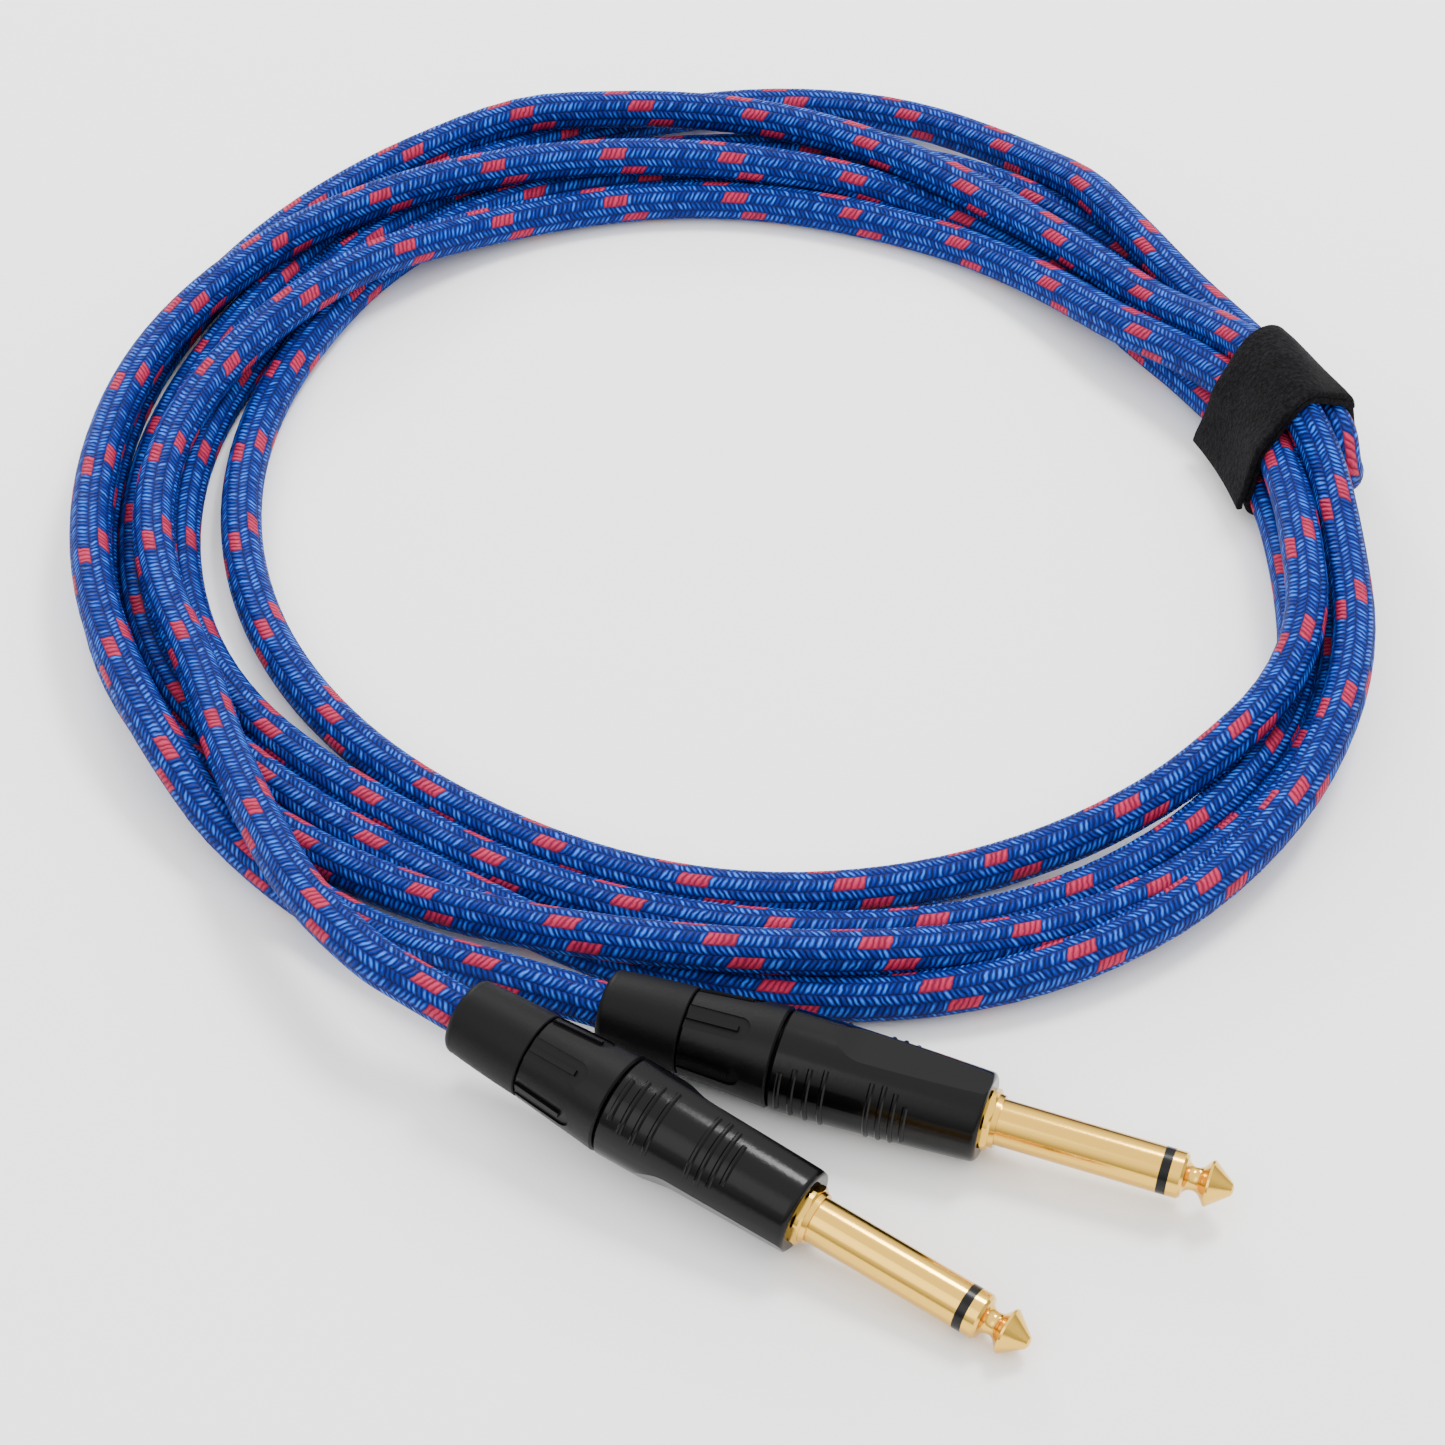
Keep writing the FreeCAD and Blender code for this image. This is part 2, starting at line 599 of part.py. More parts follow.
# ------------------------------------------------------------------ tie
def tie_outline(grow):
    """Rounded outline round the bundle, grown outwards."""
    bundle = TIE.bundle()
    low = sorted(c for c in bundle if c[1] < 8)
    high = sorted(c for c in bundle if c[1] >= 8)
    corners = [low[0], low[-1], high[-1], high[0], low[0]]
    wire = Part.makePolygon([TIE.place(o, u, -TIE_W / 2) for o, u in corners])
    return Part.Face(wire).makeOffset2D(GROUND + grow)


def tie_layer(inner_grow, thickness):
    ring = tie_outline(inner_grow + thickness).cut(tie_outline(inner_grow))
    return ring.extrude(TIE.along * TIE_W)


def tie_band():
    return tie_layer(TIE_GAP, TIE_T)


def tail_start():
    high = max(c[0] for c in TIE.bundle() if c[1] >= 8)
    return high - 1.0


def tie_tail():
    """Free end of the tie: lies over the top and down the inner side, and peels open."""
    layer = tie_layer(TIE_GAP + TIE_T + TAIL_GAP, TAIL_T)
    top = max(c[1] for c in TIE.bundle())
    left = min(c[0] for c in TIE.bundle()) - 3 * GROUND
    window = Part.Face(Part.makePolygon([
        TIE.place(tail_start(), 60, -TIE_W), TIE.place(tail_start(), top, -TIE_W),
        TIE.place(0, top - GROUND, -TIE_W), TIE.place(left + GROUND * 2.2, 1.6, -TIE_W),
        TIE.place(left - 20, 1.6, -TIE_W), TIE.place(left - 20, 60, -TIE_W),
        TIE.place(tail_start(), 60, -TIE_W)]))
    return layer.common(window.extrude(TIE.along * TIE_W * 2))


def tail_hinge():
    top = max(c[1] for c in TIE.bundle()) + GROUND + TIE_GAP + TIE_T + TAIL_GAP / 2
    return TIE.place(tail_start(), top, 0)


# ------------------------------------------------------------------ whole part
def build():
    shift = Vector(-ORIGIN_FROM_COIL[0], -ORIGIN_FROM_COIL[1], 0)
    nodes = {"cable_coil": cable_coil(), "tie_band": tie_band(), "tie_tail": tie_tail()}
    for plug in PLUG_POSES:
        placement, axis = plug_placement(plug)
        for name, make in PLUG_PIECES.items():
            piece = make()
            piece.Placement = placement.multiply(piece.Placement)
            nodes[plug + "_" + name] = piece
        nodes["cable_lead_" + plug[-1]] = cable_lead(plug)
        collar = placement.multVec(Vector(0, 0, 0)) + shift
        print(plug, "collar face", [round(v, 3) for v in collar], "axis",
              [round(v, 5) for v in axis])
    print("coil underside", [round(v / 1000, 5) for v in polar(0, 88, 0) + shift])
    hinge = tail_hinge() + shift
    print("tail hinge", [round(v, 3) for v in hinge], "axis",
          [round(-v, 5) for v in TIE.along])
    for shape in nodes.values():
        shape.translate(shift)
    return nodes


def main():
    os.makedirs("parts", exist_ok=True)
    own = FreeCAD.BoundBox()
    for name, shape in build().items():
        if shape.ShapeType == "Compound" and len(shape.Solids) == 1:
            shape = shape.Solids[0]
        if not shape.isValid() or not shape.Solids:
            print("WARNING: not a valid solid:", name)
        shape.exportStep("parts/%s.step" % name)
        if not name.startswith("cable_"):
            own.add(shape.optimalBoundingBox())
    print("plugs and tie: x %.2f..%.2f y %.2f..%.2f z %.2f..%.2f" % (
        own.XMin, own.XMax, own.YMin, own.YMax, own.ZMin, own.ZMax))


main()
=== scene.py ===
"""Dresses the instrument cable: the wound braided lead, its two jack plugs and its strap.

The frame is in metres with +Z up; the coil and both plugs lie on the floor at Z = 0. The routes
below are in millimetres and are scaled by MM where they become geometry.
"""

import logging
import math
from dataclasses import dataclass, field
from enum import Enum

import bpy
import numpy as np
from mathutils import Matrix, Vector


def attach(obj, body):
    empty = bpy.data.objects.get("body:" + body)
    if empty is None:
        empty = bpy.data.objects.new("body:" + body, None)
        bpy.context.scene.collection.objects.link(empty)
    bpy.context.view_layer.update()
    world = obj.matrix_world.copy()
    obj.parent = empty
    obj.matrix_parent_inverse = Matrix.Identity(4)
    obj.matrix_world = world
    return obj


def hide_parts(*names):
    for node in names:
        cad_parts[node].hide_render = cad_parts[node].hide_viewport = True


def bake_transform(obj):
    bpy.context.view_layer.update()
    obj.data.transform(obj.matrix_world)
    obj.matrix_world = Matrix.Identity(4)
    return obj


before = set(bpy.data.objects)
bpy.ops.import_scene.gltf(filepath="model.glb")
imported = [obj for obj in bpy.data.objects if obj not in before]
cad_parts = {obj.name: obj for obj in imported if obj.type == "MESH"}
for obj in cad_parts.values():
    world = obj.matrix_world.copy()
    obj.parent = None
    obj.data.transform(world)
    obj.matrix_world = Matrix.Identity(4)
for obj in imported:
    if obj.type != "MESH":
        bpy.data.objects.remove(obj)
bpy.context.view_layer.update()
log = logging.getLogger("cable")

MM = 0.001
FULL_TURN = 2 * math.pi
Point = tuple[float, float, float]
Colour = tuple[float, float, float, float]


class Half(Enum):
    """The two halves of the cable, named after the plug that each ends in."""

    NEAR = "a"
    FAR = "b"


class Socket:
    """A node's output value, with arithmetic that adds Math nodes."""

    def __init__(self, tree: "Tree", out) -> None:
        """Wrap an output socket of a tree."""
        self.tree = tree
        self.out = out

    def _op(self, operation: str, *values) -> "Socket":
        """Math node on the given values."""
        return self.tree.node("ShaderNodeMath", {"operation": operation}, dict(enumerate(values)))

    def __add__(self, other) -> "Socket":
        """Sum."""
        return self._op("ADD", self, other)

    __radd__ = __add__

    def __mul__(self, other) -> "Socket":
        """Product."""
        return self._op("MULTIPLY", self, other)

    __rmul__ = __mul__

    def __sub__(self, other) -> "Socket":
        """Difference."""
        return self._op("SUBTRACT", self, other)

    def __rsub__(self, other) -> "Socket":
        """Difference, other way round."""
        return self._op("SUBTRACT", other, self)

    def __truediv__(self, other) -> "Socket":
        """Quotient."""
        return self._op("DIVIDE", self, other)

    def __mod__(self, other) -> "Socket":
        """Remainder that is never negative."""
        return self._op("FLOORED_MODULO", self, other)

    def __lt__(self, other) -> "Socket":
        """1 where smaller."""
        return self._op("LESS_THAN", self, other)

    def floor(self) -> "Socket":
        """Whole part."""
        return self._op("FLOOR", self)

    def fract(self) -> "Socket":
        """Part after the point."""
        return self._op("FRACT", self)

    def cos(self) -> "Socket":
        """Cosine of radians."""
        return self._op("COSINE", self)

    def power(self, exponent: float) -> "Socket":
        """Raised to an exponent."""
        return self._op("POWER", self, exponent)

    def angle(self, x: "Socket") -> "Socket":
        """Angle whose sine is this and cosine is x."""
        return self._op("ARCTAN2", self, x)

    def ramp(self, low: float, high: float, to_low: float = 0.0, to_high: float = 1.0) -> "Socket":
        """Straight ramp between two values, clamped.

        Args:
            low: input that gives to_low.
            high: input that gives to_high.
            to_low: output at low.
            to_high: output at high.

        Returns:
            The ramped value.
        """
        return self.tree.node("ShaderNodeMapRange", {"clamp": True},
                              {0: self, 1: low, 2: high, 3: to_low, 4: to_high})


class Tree:
    """Builds one material's nodes."""

    def __init__(self, name: str) -> None:
        """Start an empty material."""
        self.material = bpy.data.materials.new(name)
        self.material.use_nodes = True
        self.nodes = self.material.node_tree.nodes
        self.links = self.material.node_tree.links
        self.nodes.clear()

    def node(self, kind: str, settings: dict, inputs: dict,
             output: int | str | None = 0) -> Socket | None:
        """Add a node.

        Args:
            kind: Blender's node type.
            settings: node properties, set first.
            inputs: values or sockets by input index or name.
            output: which output to return, None where the node has none.

        Returns:
            The chosen output.
        """
        made = self.nodes.new(kind)
        for key, value in settings.items():
            setattr(made, key, value)
        for key, value in inputs.items():
            if isinstance(value, Socket):
                self.links.new(value.out, made.inputs[key])
            else:
                made.inputs[key].default_value = value
        return None if output is None else Socket(self, made.outputs[output])

    def attribute(self, name: str) -> Socket:
        """A number stored on the mesh."""
        return self.node("ShaderNodeAttribute", {"attribute_name": name}, {}, "Fac")

    def position(self) -> Socket:
        """Point in the object's own space."""
        return self.node("ShaderNodeTexCoord", {}, {}, "Object")

    def noise(self, scale: float, detail: float = 2.0, roughness: float = 0.5) -> Socket:
        """Cloudy noise between 0 and 1, in the object's own space."""
        return self.node("ShaderNodeTexNoise", {}, {
            "Vector": self.position(), "Scale": scale, "Detail": detail,
            "Roughness": roughness}, 0)

    def scatter(self, seed: Socket) -> Socket:
        """Unrelated number between 0 and 1 for each value of the seed."""
        return self.node("ShaderNodeTexWhiteNoise", {"noise_dimensions": "1D"}, {"W": seed},
                         "Value")

    def mix(self, amount: Socket, first: Socket | Colour, second: Socket | Colour) -> Socket:
        """Blend two colours by an amount."""
        return self.node("ShaderNodeMix", {"data_type": "RGBA", "blend_type": "MIX"},
                         {0: amount, 6: first, 7: second}, 2)

    def bump(self, height: Socket, distance: float) -> Socket:
        """Normal from a height."""
        return self.node("ShaderNodeBump", {},
                         {"Strength": 1.0, "Distance": distance, "Height": height})

    def surface(self, **inputs) -> bpy.types.Material:
        """Finish the tree with a Principled surface.

        Args:
            inputs: Principled inputs by name, with underscores for spaces.

        Returns:
            The material.
        """
        named = {key.replace("_", " "): value for key, value in inputs.items()}
        shader = self.node("ShaderNodeBsdfPrincipled", {}, named)
        self.node("ShaderNodeOutputMaterial", {}, {"Surface": shader}, None)
        return self.material


def rgb(red: float, green: float, blue: float) -> Colour:
    """Linear colour from 0..255 display values."""
    def linear(value: float) -> float:
        """One channel."""
        value /= 255.0
        return value / 12.92 if value <= 0.04045 else ((value + 0.055) / 1.055) ** 2.4
    return (linear(red), linear(green), linear(blue), 1.0)


@dataclass(frozen=True)
class Plain:
    """A one-colour finish with faint unevenness."""

    name: str
    colour: Colour
    roughness: float
    metallic: float = 0.0
    grain: float = 0.0
    grain_size: float = 0.6 * MM
    specular: float = 0.5
    cloud_scale: float = 70.0
    unevenness: float = 0.1

    def make(self) -> bpy.types.Material:
        """Build the material."""
        tree = Tree(self.name)
        cloud = tree.noise(self.cloud_scale, 3.0)
        extra = {}
        if self.grain:
            fine = tree.noise(1.0 / self.grain_size, 3.0, 0.6)
            extra["Normal"] = tree.bump(fine, self.grain)
        return tree.surface(
            Base_Color=self.colour, Metallic=self.metallic, Specular_IOR_Level=self.specular,
            Roughness=cloud.ramp(0.3, 0.7, self.roughness * (1 - self.unevenness),
                                 self.roughness * (1 + self.unevenness)), **extra)


@dataclass(frozen=True)
class Braid:
    """Woven jacket: a broad and a slim column of slanted stitches in turn.

    The broad columns carry the flecks, each made of whole stitches. Stitches differ a little in
    brightness and wander a little along the cable. Colour also follows each stitch's height:
    painted shade in the hollows between stitches and a painted highlight on their tops.
    """

    name: str = "braid"
    pairs: int = 6
    broad: float = 0.57
    stitch: float = 0.87 * MM
    slant: float = 0.95
    fleck_pitch: float = 21.5 * MM
    fleck_length: float = 4.3 * MM
    relief: float = 0.25 * MM
    # painted shade: the blue in the hollows between stitches
    painted_shade_blue: Colour = rgb(0, 5, 48)
    body: Colour = rgb(0, 31, 128)
    # painted highlight: the blue on the stitches' tops
    bright: Colour = rgb(30, 106, 218)
    fleck: Colour = rgb(170, 38, 72)
    # painted shade: the red in the hollows between a fleck's stitches
    fleck_painted_shade: Colour = rgb(84, 6, 38)
    wander_scale: float = 700.0
    wander: float = 0.8
    dimmest: float = 0.45
    brightness_spread: float = 0.85
    seed_step: float = 7.31
    fibre_scale: float = 2600.0
    fibre_share: float = 0.12

    def make(self) -> bpy.types.Material:
        """Build the material from the tube's stored length and angle."""
        tree = Tree(self.name)
        along = tree.attribute("along")
        turn = tree.attribute("round_sin").angle(tree.attribute("round_cos")) / FULL_TURN + 0.5
        pair = turn * self.pairs
        inside = pair.fract()
        is_broad = inside < self.broad
        number = pair.floor() * 2 + (1 - is_broad)
        across = (is_broad * (inside / self.broad)
                  + (1 - is_broad) * ((inside - self.broad) / (1 - self.broad))) - 0.5
        lean = across * (is_broad * 2 - 1) * self.slant
        wander = (tree.noise(self.wander_scale, 1.0) - 0.5) * self.wander
        stitches = along / self.stitch + lean + number * 0.5 + wander
        rise = 0.5 - (stitches * FULL_TURN).cos() * 0.5
        arch = (across * math.pi).cos()
        height = rise.power(0.7) * arch.power(0.6)
        chance = tree.scatter(number * self.seed_step + stitches.floor())
        # stitch height times a random tone per stitch; the mixes below turn it into painted shade
        # and painted highlight
        shade = height * (self.dimmest + self.brightness_spread * chance)
        middle = (stitches.floor() + 0.5 - number * 0.5) * self.stitch
        shifted = (middle - pair.floor() * (self.fleck_pitch / self.pairs)) % self.fleck_pitch
        is_fleck = (shifted < self.fleck_length) * is_broad
        # painted shade low on each stitch, painted highlight high on it
        blue = tree.mix(shade.ramp(0.0, 0.45), self.painted_shade_blue, self.body)
        blue = tree.mix(shade.ramp(0.5, 1.1), blue, self.bright)
        # the same painted shade within the flecks, lighter red on the stitches' tops
        red = tree.mix(shade.ramp(-0.1, 0.55), self.fleck_painted_shade, self.fleck)
        fibre = tree.noise(self.fibre_scale, 2.0)
        return tree.surface(
            Base_Color=tree.mix(is_fleck, blue, red), Roughness=0.6, Specular_IOR_Level=0.12,
            Normal=tree.bump(height + self.fibre_share * fibre, self.relief))


@dataclass(frozen=True)
class Pile:
    """Brushed loop cloth of the tie."""

    name: str = "pile"
    colour: Colour = rgb(5, 5, 6)
    light: Colour = rgb(27, 25, 29)
    relief: float = 0.5 * MM

    def make(self) -> bpy.types.Material:
        """Build the material."""
        tree = Tree(self.name)
        loops = tree.noise(1500.0, 3.0, 0.65)
        cloud = tree.noise(240.0, 2.0)
        shade = loops * 0.8 + cloud * 0.3
        return tree.surface(
            Base_Color=tree.mix(shade.ramp(0.45, 0.8), self.colour, self.light),
            Roughness=0.95, Sheen_Weight=0.02, Sheen_Roughness=0.6, Specular_IOR_Level=0.05,
            Normal=tree.bump(loops, self.relief))


@dataclass
class Coil:
    """The whole cable as one line: lead, laps, fold, laps back, lead.

    Angles run clockwise from the left about the centre, seen from above. Each lap gives a
    (radius, height) at every station, after the one at the entry; the fold gives (angle, radius,
    height); the leads give points from the coil's centre.
    """

    diameter: float = 6.5
    centre: tuple[float, float] = (-33.90, 67.88)
    sections: int = 34
    entry: float = -30.0
    stations: tuple = (0, 30, 60, 90, 105, 120, 135, 150, 170, 190, 210, 240, 270, 300, 330)
    laps: dict = field(default_factory=lambda: {
        Half.NEAR: (
            (90.3, 8.9),
            (89.6, 8.9), (84, 8.9), (83, 3.8), (82, 3.25), (81.3, 3.25), (80.3, 3.25),
            (77.9, 5.4), (77.3, 8), (88.9, 9.9), (91.6, 12.6), (98.4, 9.4), (91.4, 3.25),
            (86.5, 3.25), (79.8, 3.25), (76.9, 3.25),
            (77, 3.25), (80.7, 3.25), (89, 3.25), (88.3, 3.25), (90.8, 3.25), (92.9, 3.25),
            (90.7, 3.25), (88.4, 3.25), (92.6, 4.75), (97, 3.25), (104.3, 3.25), (106.3, 3.8),
            (102.8, 8.9), (97.8, 3.6), (100.3, 3.25),
            (99.3, 3.25), (102.4, 3.25), (106.7, 3.6), (98.2, 9), (92.8, 8.9), (86.3, 8.7),
            (83.5, 8.8), (83.2, 9.2), (90.5, 15.2), (97, 9.2), (106.2, 8.8), (112.5, 5.3),
            (105, 3.25), (92.8, 3.25), (93.8, 3.25),
            (92.8, 3.25), (93.7, 3.25), (101.3, 3.25), (110, 3.25), (111.9, 3.25), (105.8, 3.3),
            (95.2, 7.8), (90.4, 9.2), (94.8, 10.4),
        ),
        Half.FAR: (
            (101, 9.8),
            (99.2, 9.8), (98.6, 8.4), (92.7, 8.9), (85, 8.9), (85.6, 6.08), (86.6, 3.25),
            (84.1, 3.25), (82, 3.25), (87, 4.75), (91, 3.25), (98.2, 3.25), (100.6, 3.25),
            (93, 3.25), (86.3, 3.25), (87.3, 3.25),
            (86.3, 3.25), (87.2, 3.25), (95.2, 3.25), (96.2, 3.25), (98, 3.25), (98.7, 3.25),
            (96.2, 3.25), (94.2, 3.25), (97.6, 4.75),
        ),
    })
    leads: dict = field(default_factory=lambda: {
        Half.NEAR: ((-58.5, -95.0, 13.0), (-66.2, -79.0, 12.0), (-73.0, -62.0, 10.2)),
        Half.FAR: ((-46.0, -97.5, 4.8), (-59.5, -87.0, 3.4), (-71.5, -75.0, 5.0),
                   (-80.8, -62.0, 8.4)),
    })
    straight: tuple = (0.0, 5.0, 10.0, 16.0)
    fold: tuple = ((173.0, 94.9, 12.4), (175.6, 95.0, 14.0), (178.3, 95.4, 13.2),
                   (179.9, 96.1, 8.9), (178.4, 96.9, 4.6), (175.6, 97.3, 3.6),
                   (172.9, 97.5, 4.2))
    tie_station: float = 172.0
    tie_lift: float = 1.5
    tie_reach: float = 1.9
    tie_fade: float = 8.0
    own_length: float = 3.2
    held_length: float = 24.0
    push: float = 0.3
    fade: float = 0.995
    last_rounds: int = 6

    def polar(self, angle: float, radius: float, height: float) -> np.ndarray:
        """Point at a running angle, clockwise from the left, about the coil's centre."""
        a = math.radians(angle)
        return np.array([self.centre[0] - math.cos(a) * radius,
                         self.centre[1] + math.sin(a) * radius, height])

    def lap_points(self, half: Half) -> np.ndarray:
        """Route points along the laps of one half, from its lead to the fold.

        Args:
            half: which half of the cable.

        Returns:
            The points, evenly turned about the centre.
        """
        rows = np.array(self.laps[half])
        angles = np.array([self.entry] + [360.0 * lap + s for lap in range(4)
                                          for s in self.stations][:len(rows) - 1])
        slopes = np.gradient(rows, angles, axis=0)
        for i in range(1, len(angles) - 1):
            slopes[i] = (rows[i + 1] - rows[i - 1]) / (angles[i + 1] - angles[i - 1])
        found = []
        turned = np.arange(angles[0], angles[-1], 360.0 / self.sections)
        for angle in np.append(turned, angles[-1]):
            i = min(int(np.searchsorted(angles, angle, side="right")) - 1, len(angles) - 2)
            span = angles[i + 1] - angles[i]
            t = (angle - angles[i]) / span
            ends = (2 * t ** 3 - 3 * t ** 2 + 1) * rows[i] + (3 * t ** 2 - 2 * t ** 3) * rows[i + 1]
            lean = (t ** 3 - 2 * t ** 2 + t) * slopes[i] + (t ** 3 - t ** 2) * slopes[i + 1]
            radius, height = ends + span * lean
            found.append(self.polar(angle, radius, max(height, self.diameter / 2)))
        return np.array(found)

    def route(self, boots: dict) -> np.ndarray:
        """Points of the whole cable, millimetres.

        Args:
            boots: for each half, the centre of the boot's rear face and the way out of it.

        Returns:
            The points from plug a's boot to plug b's.
        """
        parts = []
        for half in Half:
            rear, away = boots[half]
            out = [rear + away * d for d in self.straight]
            lead = np.array(self.leads[half]) + (*self.centre, 0.0)
            parts.append(np.vstack([out, lead, self.lap_points(half)]))
        fold = np.array([self.polar(*p) for p in self.fold])
        return np.vstack([parts[0], fold, parts[1][::-1]])

    def settled(self, line: np.ndarray, rounds: int = 150) -> np.ndarray:
        """Let the strands push each other apart, above the floor and the strap's underside.

        Args:
            line: points along the smooth route.
            rounds: how many times to push.

        Returns:
            The eased line.
        """
        at = np.concatenate([[0.0], np.cumsum(np.linalg.norm(np.diff(line, axis=0), axis=1))])
        apart = np.abs(at[:, None] - at[None]) > self.own_length * self.diameter
        hold = np.clip(np.minimum(at, at[-1] - at) / self.held_length, 0, 1)[:, None]
        off = line[:, :2] - self.centre
        turned = np.degrees(np.arctan2(off[:, 1], -off[:, 0]))
        lowest = self.diameter / 2 + self.tie_lift * np.clip(
            self.tie_reach - np.abs(turned - self.tie_station) / self.tie_fade, 0, 1)
        shift = np.zeros_like(line)
        for turn in range(rounds):
            now = line + shift
            delta = now[:, None] - now[None]
            distance = np.linalg.norm(delta, axis=2) + 1e-6
            push = np.where(apart & (distance < self.diameter),
                            (self.diameter - distance) / distance, 0.0)
            shift = shift + self.push * (delta * push[:, :, None]).sum(axis=1)
            if turn < rounds - self.last_rounds:
                smooth = shift.copy()
                smooth[1:-1] = 0.25 * shift[:-2] + 0.5 * shift[1:-1] + 0.25 * shift[2:]
                shift = smooth * self.fade
            shift *= hold
            shift[:, 2] = np.maximum(shift[:, 2], lowest - line[:, 2])
        now = line + shift
        distance = np.where(apart, np.linalg.norm(now[:, None] - now[None], axis=2), 99.0)
        log.info("closest strands %.2f mm apart, largest move %.2f mm",
                 distance.min(), np.linalg.norm(shift, axis=1).max())
        return now


def smooth_line(points: np.ndarray, name: str) -> np.ndarray:
    """Points along a smooth curve that follows a route.

    Args:
        points: the route's points in millimetres.
        name: name of the passing curve.

    Returns:
        The curve's own points in millimetres.
    """
    curve = bpy.data.curves.new(name, "CURVE")
    curve.dimensions = "3D"
    spline = curve.splines.new("NURBS")
    spline.points.add(len(points) - 1)
    for control, point in zip(spline.points, points):
        control.co = (*(point * MM), 1.0)
    spline.order_u = 3
    spline.use_endpoint_u = True
    spline.resolution_u = 4
    holder = bpy.data.objects.new(name, curve)
    bpy.context.scene.collection.objects.link(holder)
    graph = bpy.context.evaluated_depsgraph_get()
    mesh = bpy.data.meshes.new_from_object(holder.evaluated_get(graph))
    bpy.data.objects.remove(holder)
    return np.array([v.co for v in mesh.vertices]) / MM


def rail_mesh(line: np.ndarray, name: str) -> bpy.types.Mesh:
    """A chain of edges along a line, in metres."""
    mesh = bpy.data.meshes.new(name)
    mesh.from_pydata([tuple(p * MM) for p in line], [(i, i + 1) for i in range(len(line) - 1)], [])
    return mesh


@dataclass
class Tie:
    """Hook-and-loop strap: a band drawn round the bundle and its free end over it.

    Its rows lie in planes across the strands, as (out, up) points from the middle of the tie.
    """

    coil: Coil
    station: float = 171.8
    radius: float = 91.9
    along: Point = (0.55, -0.835, 0.0)
    width: float = 17.5
    thickness: float = 1.2
    flap_thickness: float = 1.1
    gap: float = 0.12
    planes: int = 9
    points: int = 120
    flap_from: float = 20.0
    flap_to: float = 212.0
    flare: float = 2.0
    flare_from: float = 0.78
    flare_power: float = 1.6
    flare_far_side: float = 0.25
    sunk_share: float = 0.12
    sunk_depth: float = 0.8
    ease_rounds: int = 3
    strand_reach: float = 30.0
    hinge: Point = (59.201, 85.206, 15.55)

    def axes(self) -> tuple[np.ndarray, np.ndarray, np.ndarray, np.ndarray]:
        """Middle of the tie, and the ways along, out and up."""
        along = np.array(self.along) / np.linalg.norm(self.along)
        up = np.array((0.0, 0.0, 1.0))
        return self.coil.polar(self.station, self.radius, 0.0), along, np.cross(up, along), up

    def crossings(self, line: np.ndarray, at: float) -> np.ndarray:
        """Where the strands cross a plane of the tie.

        Args:
            line: the cable's line.
            at: the plane's distance from the middle of the tie.

        Returns:
            Strand centres as (out, up) rows.
        """
        middle, along, out, up = self.axes()
        away = (line - middle) @ along - at
        found = []
        for i in np.nonzero(away[:-1] * away[1:] <= 0)[0]:
            t = away[i] / (away[i] - away[i + 1])
            point = line[i] + (line[i + 1] - line[i]) * t - middle
            if np.linalg.norm(point) < self.strand_reach:
                found.append((point @ out, point @ up))
        return np.array(found)

    def outline(self, line: np.ndarray, at: float, grow: float) -> np.ndarray:
        """Drawn-tight outline round the strands, evenly spaced, from the outer lower corner.

        Args:
            line: the cable's line.
            at: the plane's distance from the middle of the tie.
            grow: distance from the strands' surface.

        Returns:
            (out, up) rows, anticlockwise when the strands come towards the eye.
        """
        centres = self.crossings(line, at)
        turn = np.radians(np.linspace(-60, 300, 721))
        facing = np.stack([np.cos(turn), np.sin(turn)], axis=1)
        most = centres[np.argmax(facing @ centres.T, axis=1)]
        ring = most + facing * (self.coil.diameter / 2 + grow)
        steps = np.concatenate([[0], np.cumsum(np.linalg.norm(np.diff(ring, axis=0), axis=1))])
        want = np.linspace(0, steps[-1], self.points + 1)[:-1]
        return np.stack([np.interp(want, steps, ring[:, k]) for k in range(2)], axis=1)

    def sheet(self, line: np.ndarray, grow: float) -> np.ndarray:
        """Rows of outline points across the strap's width, eased along it."""
        spots = np.linspace(-self.width / 2, self.width / 2, self.planes)
        rows = np.array([self.outline(line, at, grow) for at in spots])
        for _ in range(self.ease_rounds):
            rows[1:-1] = (rows[:-2] + 2 * rows[1:-1] + rows[2:]) / 4
        return rows

    def place(self, rows: np.ndarray) -> np.ndarray:
        """Turn rows of (out, up) points into points in space, millimetres."""
        middle, along, out, up = self.axes()
        spots = np.linspace(-self.width / 2, self.width / 2, self.planes)
        return (middle + spots[:, None, None] * along + rows[:, :, :1] * out + rows[:, :, 1:] * up)

    def flap_rows(self, line: np.ndarray) -> np.ndarray:
        """The free end's rows: over the top and down the inner side, its tip standing off."""
        grow = self.gap + self.thickness + self.gap + self.flap_thickness / 2
        rows = self.sheet(line, grow)
        middle = rows.mean(axis=(0, 1))
        angle = np.degrees(np.arctan2(rows[0, :, 1] - middle[1], rows[0, :, 0] - middle[0])) % 360
        keep = np.nonzero((angle > self.flap_from) & (angle < self.flap_to))[0]
        rows = rows[:, keep]
        step = np.diff(rows, axis=1, append=2 * rows[:, -1:] - rows[:, -2:-1])
        outward = np.stack([step[..., 1], -step[..., 0]], axis=-1)
        outward /= np.linalg.norm(outward, axis=-1, keepdims=True)
        share = np.linspace(0, 1, len(keep))
        lift = np.clip((share - self.flare_from) / (1 - self.flare_from), 0, 1) ** self.flare_power
        side = np.linspace(1.0, self.flare_far_side, self.planes)
        sink = self.sunk_depth * self.thickness * np.clip(1 - share / self.sunk_share, 0, 1)
        away = lift[None, :] * side[:, None] * self.flare - sink[None, :]
        return rows + outward * away[..., None]

